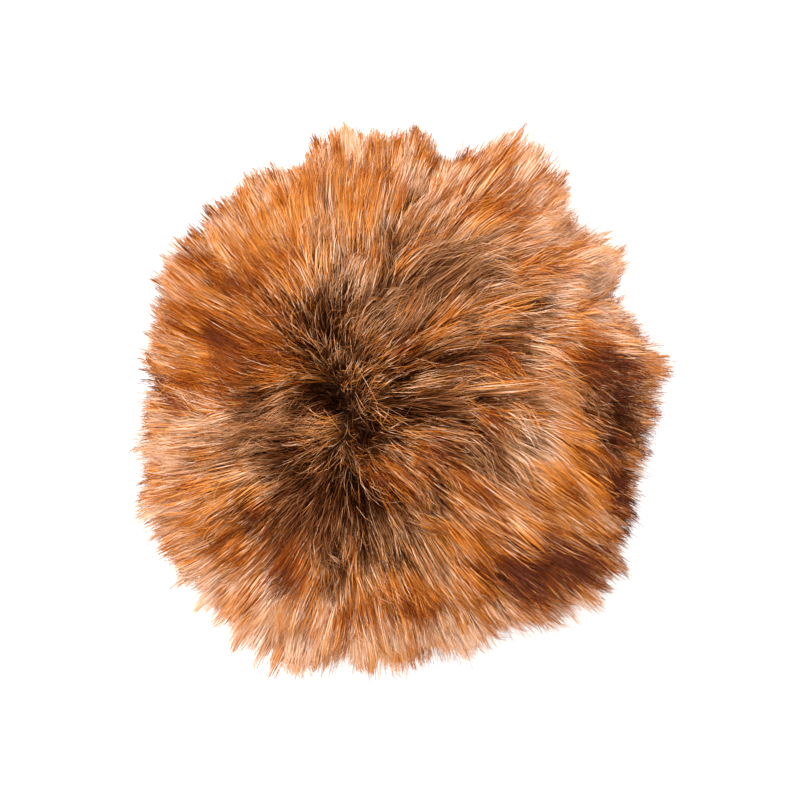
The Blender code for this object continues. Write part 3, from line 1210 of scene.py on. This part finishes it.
class Coat:
    """The whole coat of hair. Hairs gather in wisps, and wisps gather in locks.

    Attributes:
        lock_habit: How the locks grow.
        wisp_habit: How the wisps grow.
        strand_habit: How single hairs grow.
    """

    lock_habit: LockHabit = LockHabit()
    wisp_habit: WispHabit = WispHabit()
    strand_habit: StrandHabit = StrandHabit()

    def __init__(self, ball: FurBall, materials: FurMaterials, seed: int) -> None:
        """Lay out the locks and the wisps.

        Args:
            ball: The ball that the hair fills.
            materials: The fur's materials.
            seed: Sets all that is left to chance.
        """
        self.ball = ball
        self.materials = materials
        self.rng = np.random.default_rng(seed)
        self.tones = ToneMap(ball, self.rng)
        self.broad = SoftNoise(self.rng, fineness=10.0)
        self.mottle = SoftNoise(self.rng, fineness=70.0)
        self._lay_locks()
        self._lay_wisps()

    def _lay_locks(self) -> None:
        """Set the locks' paths, tones and lightness."""
        rng, habit = self.rng, self.lock_habit
        self.lock_roots = spread_on_ball(habit.count, rng, habit.jitter)
        length = habit.shortest + habit.variation * rng.random(habit.count) ** habit.bias
        length *= 1 - habit.dip * self._near_parting(self.lock_roots, habit.dip_reach)
        self.locks = self._set_out(self.lock_roots, length, habit.waver, habit.crown_waver)
        self.lock_paths = self.locks.paths(self.ball)
        self.lock_spread = rng.normal(size=habit.count)
        self.lock_light = rng.normal(size=habit.count)
        self.lock_tip = rng.random(habit.count)
        self.lock_shift = habit.tone_reach * rng.normal(size=(habit.count, 2))

    def _lay_wisps(self) -> None:
        """Set the wisps' paths, drawn towards their locks, and their tones."""
        rng, habit = self.rng, self.wisp_habit
        self.wisp_roots = spread_on_ball(habit.count, rng, habit.jitter)
        self.lock_of = nearest_of(self.lock_roots, self.wisp_roots)
        lock_length = self.locks.length[self.lock_of]
        length = lock_length * rng.uniform(habit.shortest, 1.0, habit.count)
        self.wisps = self._set_out(self.wisp_roots, length, habit.waver)
        paths = self.wisps.paths(self.ball)
        lead = self._fitted(self.lock_paths[self.lock_of], lock_length, length)
        draw = habit.draw * self._hold(self.wisp_roots)[:, None] * SECTIONS**habit.draw_bend
        self.wisp_paths = paths + (lead - paths) * draw[:, :, None]
        crown = self._near_parting(self.wisp_roots, CROWN_WAVER_REACH)
        from_lock = habit.lock_spread + habit.lock_spread_in_crown * crown
        self.wisp_spread = from_lock * self.lock_spread[self.lock_of]
        own = habit.spread + habit.spread_in_crown * crown
        self.wisp_spread += own * rng.normal(size=habit.count)
        self.wisp_spread += habit.broad_spread * self.broad.at(self.wisp_roots)
        self.wisp_light = habit.lock_light * self.lock_light[self.lock_of]
        self.wisp_light += habit.light * rng.normal(size=habit.count)
        shift = habit.tone_reach * rng.normal(size=(habit.count, 2))
        self.wisp_shift = self.lock_shift[self.lock_of] + shift
        tip = habit.lock_tip * self.lock_tip[self.lock_of] + habit.tip * rng.random(habit.count)
        self.wisp_tip = np.clip(tip, 0, 1)

    def _fitted(self, paths: np.ndarray, length: np.ndarray, wanted: np.ndarray) -> np.ndarray:
        """Draw leading paths in or out, from their length towards that of the hairs that follow."""
        reach = 1 + FITTING * (wanted / length - 1)[:, None] * SECTIONS
        return self.ball.middle + (paths - self.ball.middle) * reach[:, :, None]

    def _near_parting(self, roots: np.ndarray, reach: float) -> np.ndarray:
        """How near roots are to the parting line: 1 on it, and 0 from that reach in degrees."""
        return eased(1 - self.ball.from_parting_line(roots)[0] / reach)

    def _hold(self, roots: np.ndarray) -> np.ndarray:
        """How firmly hairs gather, which is loosely along the parting."""
        return 1 - (1 - PARTING_HOLD) * self._near_parting(roots, PARTING_HOLD_REACH)

    def _set_out(self, roots: np.ndarray, length: np.ndarray, waver: float,
                 crown_waver: float = 0.0) -> HairSet:
        """Set hairs out by their roots.

        Args:
            roots: Unit vectors, one a row.
            length: The hairs' lengths as shares of the way to the outline.
            waver: How far a hair's heading strays from the flow, in degrees.
            crown_waver: How much further it strays in the crown, as a share more.

        Returns:
            The hairs.
        """
        rng, count = self.rng, len(roots)
        nearest, _ = self.ball.from_parting_line(roots)
        lying = read_table(LYING, self.ball.from_parting(roots)[1], around=True)
        sweep = lying * read_table(LYING_SWEEP, nearest, around=False)
        sweep += (1 - lying) * read_table(STANDING_SWEEP, nearest, around=False)
        sweep = sweep * (1 + rng.normal(0, SWEEP_SHARE_STRAY * waver, count))
        sweep += rng.normal(0, SWEEP_STRAY * waver, count)
        tousle = 1 + CROWN_TOUSLE * self._near_parting(roots, CROWN_TOUSLE_REACH)
        tousle += crown_waver * self._near_parting(roots, CROWN_WAVER_REACH)
        return HairSet(roots, np.radians(sweep), rng.normal(0, waver, count) * tousle, length)

    def _roots_of(self, kind: HairKind) -> np.ndarray:
        """Spread the roots of a kind of hair, with few underneath and none over the flat spot.

        Args:
            kind: The kind of hair.

        Returns:
            Unit vectors, one a row.
        """
        roots = spread_on_ball(kind.count, self.rng, self.strand_habit.jitter)
        kept = read_table(ROOTS_KEPT, roots[:, 2], around=False)
        roots = roots[self.rng.random(len(roots)) < kept]
        return roots[(roots[:, 2] > kind.lowest) & (roots[:, 2] < kind.highest)]

    def grow(self, kind: HairKind) -> Hairs:
        """Work out every hair of a kind.

        Args:
            kind: The kind of hair.

        Returns:
            The hairs.
        """
        rng, habit = self.rng, self.strand_habit
        roots = self._roots_of(kind)
        count = len(roots)
        wisp = nearest_of(self.wisp_roots, roots)
        rank = 1 - rng.random(count) ** habit.long_bias * rng.random(count)
        length = self.wisps.length[wisp] * (kind.shortest + (kind.longest - kind.shortest) * rank)
        paths = self._set_out(roots, length, kind.waver).paths(self.ball)
        lead = self._fitted(self.wisp_paths[wisp], self.wisps.length[wisp], length)
        hold = kind.gather * self._hold(roots) * rng.uniform(habit.loosest, 1.0, count)
        draw = hold[:, None] * SECTIONS**habit.gather_bend
        paths += (lead - paths) * draw[:, :, None]
        more = 1 + habit.crown_bow * self._near_parting(roots, habit.crown_bow_reach)
        bow = rng.normal(0, kind.bow, (count, 1, 3)) * more[:, None, None]
        paths += bow * np.sin(SECTIONS * math.pi)[None, :, None]
        paths += rng.normal(0, kind.bow, (count, 1, 3)) * (SECTIONS**2)[None, :, None]
        lowest = self.ball.floor_gap + rng.uniform(0, habit.floor_lift, count)[:, None]
        paths[:, :, 2] = np.maximum(paths[:, :, 2], lowest)
        width = 1 - (1 - habit.crown_width) * self._near_parting(roots, habit.crown_width_reach)
        thick = kind.thickness * rng.uniform(habit.thinnest, habit.thickest, count) * width
        places = self._colour(paths, wisp, kind, rank)
        return Hairs(paths[:, kind.first_section:], places[:, kind.first_section:], thick)

    def _colour(self, paths: np.ndarray, wisp: np.ndarray, kind: HairKind,
                rank: np.ndarray) -> np.ndarray:
        """Find where each section of each hair lies in the colour map.

        Args:
            paths: Points by hair, section and axis.
            wisp: The wisp of each hair.
            kind: The kind of hair.
            rank: How long each hair is among its kind, from 0 to 1.

        Returns:
            Places in the colour map by hair and section: lightness, then tone.
        """
        rng, count, habit = self.rng, len(paths), self.strand_habit
        spread = self.wisp_spread[wisp] + habit.spread * rng.normal(size=count)
        light = self.wisp_light[wisp] + habit.light * rng.normal(size=count) + kind.paleness
        # Painted light and shade: long hairs, which lie on top, are painted lighter, and short ones
        # beneath darker
        light += habit.long_light * (rank - habit.even_rank)
        light += habit.bright_light * (rng.random(count) < habit.bright_share)
        light = np.minimum(light, habit.light_limit + habit.light_slope * (light - habit.light_limit))
        dark = rng.random(count) < habit.dark_share
        light -= habit.dark_light * dark
        spread += habit.dark_spread * dark
        shift = self.wisp_shift[wisp] + rng.normal(0, habit.tone_reach, (count, 2))
        lock_length = self.locks.length[self.lock_of[wisp]]
        places = np.empty((count, len(SECTIONS), 2))
        for section, share in enumerate(SECTIONS):
            away = paths[:, section] - self.ball.middle
            height = self.ball.height_in_coat(away, lock_length)
            weights = self.tones.weights(unit(away), shift)
            mottled = spread + habit.mottle * self.mottle.at(unit(away))
            tone = self.tones.choose(weights, bell_share(mottled))
            rim = eased(tone - RIM_TONE)
            pale_here = self._pale_here(weights)
            tone = self._tipped(tone, height, pale_here, self.wisp_tip[wisp])
            contrast = ROOT_CONTRAST + (1 - ROOT_CONTRAST) * share
            contrast = contrast * (CROWN_CONTRAST + (RIM_CONTRAST - CROWN_CONTRAST) * rim)
            # Painted shade: hair is painted darker the deeper it lies in the coat, over its own dark
            # roots
            lightness = (1 - rim) * np.interp(height, HEIGHTS, CROWN_LIGHTNESS)
            lightness += rim * np.interp(height, HEIGHTS, RIM_LIGHTNESS)
            stray = np.clip(PALEST_LEVEL - np.abs(tone - PALEST_TONE) / PALEST_BLEND, 0, 1)
            lightness -= STRAY_PALE_SHADE * (1 - pale_here) * stray
            places[:, section, 0] = lightness + light * contrast
            places[:, section, 1] = (tone + 0.5) / len(Tone)
        rise = LIMIT_STEP * np.arange(len(SECTIONS))
        places[:, :, 0] = np.clip(places[:, :, 0], DARKEST + rise, LIGHTEST + rise)
        return places

    @staticmethod
    def _pale_here(weights: np.ndarray) -> np.ndarray:
        """Tell how far places are pale ones, from 0 to 1, by the shares of their tones."""
        paler = weights[:, Tone.CREAM.value] + weights[:, Tone.PALE.value]
        return eased(paler / weights.sum(1) / PALE_PLACE)

    @staticmethod
    def _tipped(tone: np.ndarray, height: np.ndarray, pale_here: np.ndarray,
                tip: np.ndarray) -> np.ndarray:
        """Let tones run along a hair: pale below in pale places, and dark warm tips.

        Args:
            tone: The tone of each hair.
            height: How high it is in the coat there.
            pale_here: How far the place is a pale one.
            tip: How strongly tones run in each hair, from 0 to 1.

        Returns:
            The tones at that height.
        """
        warm = eased((tone - WARM_TONE) / WARM_BLEND)
        drift = warm * np.interp(height, HEIGHTS, WARM_DRIFT)
        drift = np.where(drift < 0, drift * pale_here, drift)
        drift += eased(tone - RIM_TONE) * (1 - warm) * np.interp(height, HEIGHTS, PALE_DRIFT)
        return np.clip(tone + drift * tip, 0, len(Tone) - 1)

    def mesh_of(self, name: str, hairs: Hairs) -> bpy.types.Object:
        """Build one mesh of many hairs, each a narrow band that comes to a point.

        Args:
            name: The piece's name.
            hairs: The hairs.

        Returns:
            The piece.
        """
        paths = hairs.paths
        count, pairs = len(paths), paths.shape[1] - 1
        tangents = unit(np.gradient(paths, axis=1))
        side = unit(np.cross(tangents, paths - self.ball.middle))
        above = np.cross(side, tangents)
        roll = np.radians(self.rng.normal(0, STRAND_ROLL, count))[:, None, None]
        side = side * np.cos(roll) + above * np.sin(roll)
        half = (hairs.thick[:, None] * SECTION_WIDTHS[-pairs:] / 2)[:, :, None]
        verts = np.empty((count, pairs * 2 + 1, 3))
        verts[:, 0:-1:2] = paths[:, :-1] + side[:, :-1] * half
        verts[:, 1:-1:2] = paths[:, :-1] - side[:, :-1] * half
        verts[:, -1] = paths[:, -1]
        verts[:, :, 2] = np.maximum(verts[:, :, 2], LOWEST_POINT)
        along = unit(np.gradient(hairs.places, axis=1))
        beside = np.stack([-along[:, :, 1], along[:, :, 0]], 2) * MAP_WIDTH
        places = np.empty((count, pairs * 2 + 1, 2))
        places[:, 0:-1:2] = hairs.places[:, :-1]
        places[:, 1:-1:2] = hairs.places[:, :-1] + beside[:, :-1]
        places[:, -1] = hairs.places[:, -1]
        loops, sizes = self._faces_of_one(pairs)
        all_loops = (loops[None] + (pairs * 2 + 1) * np.arange(count)[:, None]).ravel()
        all_sizes = np.tile(sizes, count)
        mesh = bpy.data.meshes.new(name)
        mesh.vertices.add(verts.shape[0] * verts.shape[1])
        mesh.vertices.foreach_set("co", verts.astype(np.float32).ravel())
        mesh.loops.add(len(all_loops))
        mesh.loops.foreach_set("vertex_index", all_loops.astype(np.int32))
        mesh.polygons.add(len(all_sizes))
        starts = np.concatenate([[0], np.cumsum(all_sizes)[:-1]])
        mesh.polygons.foreach_set("loop_start", starts.astype(np.int32))
        mesh.update(calc_edges=True)
        layer = mesh.uv_layers.new(name=TONE_MAP_NAME)
        corner_places = places.reshape(-1, 2)[all_loops]
        layer.data.foreach_set("uv", corner_places.astype(np.float32).ravel())
        mesh.shade_smooth()
        mesh.materials.append(self.materials.guard_hair)
        return put_in_scene(name, mesh)

    def pieces_of(self, kind: HairKind) -> list[bpy.types.Object]:
        """Build a kind of hair, shared out over its pieces side by side round the ball.

        Args:
            kind: The kind of hair.

        Returns:
            Its pieces.
        """
        hairs = self.grow(kind)
        if kind.pieces == 1:
            return [self.mesh_of(kind.name, hairs)]
        around = np.arctan2(hairs.paths[:, 0, 1], hairs.paths[:, 0, 0])
        shares = np.array_split(np.argsort(around), kind.pieces)
        names = [f"{kind.name}_{index + 1}" for index in range(kind.pieces)]
        return [self.mesh_of(name, hairs.only(members)) for name, members in zip(names, shares)]

    @staticmethod
    def _faces_of_one(pairs: int) -> tuple[np.ndarray, np.ndarray]:
        """The faces of a single hair.

        Args:
            pairs: How many pairs of points it has before its tip.

        Returns:
            Its corners' points and its faces' sizes.
        """
        loops, sizes = [], []
        for pair in range(pairs - 1):
            left, right = pair * 2, pair * 2 + 1
            loops += [right, left, left + 2, right + 2]
            sizes.append(4)
        loops += [pairs * 2 - 1, pairs * 2 - 2, pairs * 2]
        sizes.append(3)
        return np.array(loops), np.array(sizes)


# ---------------------------------------------------------------- the under fur


@dataclass
class UnderFurBall:
    """The dense dark down that the long hair grows out of, its darkness partly painted shade of the deep
    coat.

    Attributes:
        ball: The ball that the hair fills.
        over_roots: How far it stands above the skin, as a share of the skin's radius.
        lumps: How far its surface rises and falls, in metres.
        lump_fineness: How many lumps there are in a radian of the ball.
        subdivisions: How finely the ball is divided.
    """

    ball: FurBall
    over_roots: float = 1.01
    lumps: float = 1.2 * MM
    lump_fineness: float = 9.0
    subdivisions: int = 5

    def build(self, materials: FurMaterials) -> bpy.types.Object:
        """Build the under fur.

        Args:
            materials: The fur's materials.

        Returns:
            The piece.
        """
        shape = bmesh.new()
        bmesh.ops.create_icosphere(shape, subdivisions=self.subdivisions, radius=1)
        middle = Vector(self.ball.middle)
        for point in shape.verts:
            heading = point.co.normalized()
            radius = float(self.ball.root_radius_at(np.array([heading]))[0]) * self.over_roots
            radius += self.lumps * noise.noise(heading * self.lump_fineness)
            point.co = middle + heading * radius
            point.co.z = max(point.co.z, self.ball.floor_gap)
        mesh = mesh_from(shape, "under_fur", materials.under_fur)
        mesh.shade_smooth()
        return put_in_scene("under_fur", mesh)


# ---------------------------------------------------------------- the studio


@dataclass(frozen=True)
class SoftLight:
    """A square soft light that points at the ball.

    Attributes:
        name: Its name.
        place: Where it hangs, in metres.
        size: How wide it is, in metres.
        power: Its power in watts.
    """

    name: str
    place: tuple[float, float, float]
    size: float
    power: float

    def hang(self, aim: Vector) -> None:
        """Hang the light.

        Args:
            aim: The place that it points at.
        """
        light = bpy.data.lights.new(self.name, "AREA")
        light.shape = "SQUARE"
        light.size = self.size
        light.energy = self.power
        holder = put_in_scene(self.name, light)
        holder.location = self.place
        holder.rotation_euler = (aim - Vector(self.place)).to_track_quat("-Z", "Y").to_euler()


KEY_LIGHT = SoftLight("key_light", (-0.22, 0.27, 1.12), 0.8, 25.5)
FILL_LIGHT = SoftLight("fill_light", (0.5, -0.4, 1.0), 1.2, 6.0)


@dataclass
class Studio:
    """A pale floor, soft light and a camera straight above the ball.

    Attributes:
        ball_widest: Height of the ball's widest part.
        camera_height: Height of the camera above the floor.
        frame_width: What the picture is wide at the ball's widest part, in metres.
        sensor_width: Width of the camera's sensor in millimetres.
        floor_size: Half the width of the floor, in metres.
        floor_tone: How light the floor is, from 0 to 1.
        room_light: Strength of the even light from all round.
    """

    ball_widest: float
    camera_height: float = 0.95
    frame_width: float = 0.196
    sensor_width: float = 36.0
    floor_size: float = 3.0
    floor_tone: float = 0.93
    room_light: float = 0.99

    def build(self) -> None:
        """Build the floor, the lights, the world and the camera."""
        self._floor()
        for light in (KEY_LIGHT, FILL_LIGHT):
            light.hang(Vector((0, 0, self.ball_widest)))
        self._world()
        self._camera()
        bpy.context.scene.view_settings.view_transform = "Standard"

    def _floor(self) -> None:
        """A wide plain floor."""
        shape = bmesh.new()
        bmesh.ops.create_grid(shape, x_segments=1, y_segments=1, size=self.floor_size)
        material, shader = start_material(FLOOR_PAPER)
        shader.inputs["Base Color"].default_value = (*[self.floor_tone] * 3, 1.0)
        floor = put_in_scene("floor", mesh_from(shape, "floor", material))

    def _world(self) -> None:
        """Even white light from all round."""
        world = bpy.data.worlds.new("white_room")
        world.use_nodes = True
        background = world.node_tree.nodes["Background"]
        background.inputs["Color"].default_value = (1.0, 1.0, 1.0, 1.0)
        background.inputs["Strength"].default_value = self.room_light
        bpy.context.scene.world = world

    def _camera(self) -> None:
        """A camera straight above, with +X to the right and +Y up in the picture."""
        camera = bpy.data.cameras.new("camera")
        camera.sensor_width = self.sensor_width
        distance = self.camera_height - self.ball_widest
        camera.lens = self.sensor_width * distance / self.frame_width
        holder = put_in_scene("camera", camera)
        holder.location = (0, 0, self.camera_height)
        bpy.context.scene.camera = holder


# ---------------------------------------------------------------- all of it


def dress(piece: bpy.types.Object) -> None:
    """Let a piece ride on the solid."""
    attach(piece, ROOT_BODY)


def triangles_in(piece: bpy.types.Object) -> int:
    """Count the triangles of a piece."""
    piece.data.calc_loop_triangles()
    return len(piece.data.loop_triangles)


def main() -> None:
    """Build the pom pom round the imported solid, and the studio round it."""
    logging.basicConfig(level=logging.INFO, format="%(message)s")
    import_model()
    _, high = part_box(FUR_NODE)
    ball = FurBall(crown_height=high.z + HAIR_ABOVE_SOLID)
    materials = FurMaterials()
    Studio(ball_widest=ball.widest).build()

    under_fur = UnderFurBall(ball).build(materials)
    dress(under_fur)
    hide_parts(FUR_NODE)
    LOG.info("%s: %d triangles", under_fur.name, triangles_in(under_fur))

    coat = Coat(ball, materials, seed=5)
    for kind in (PILE, HAIR_TIPS, FLYAWAY_HAIR, FRINGE_HAIR):
        for piece in coat.pieces_of(kind):
            dress(piece)
            LOG.info("%s: %d triangles", piece.name, triangles_in(piece))


if __name__ == "__main__":
    main()
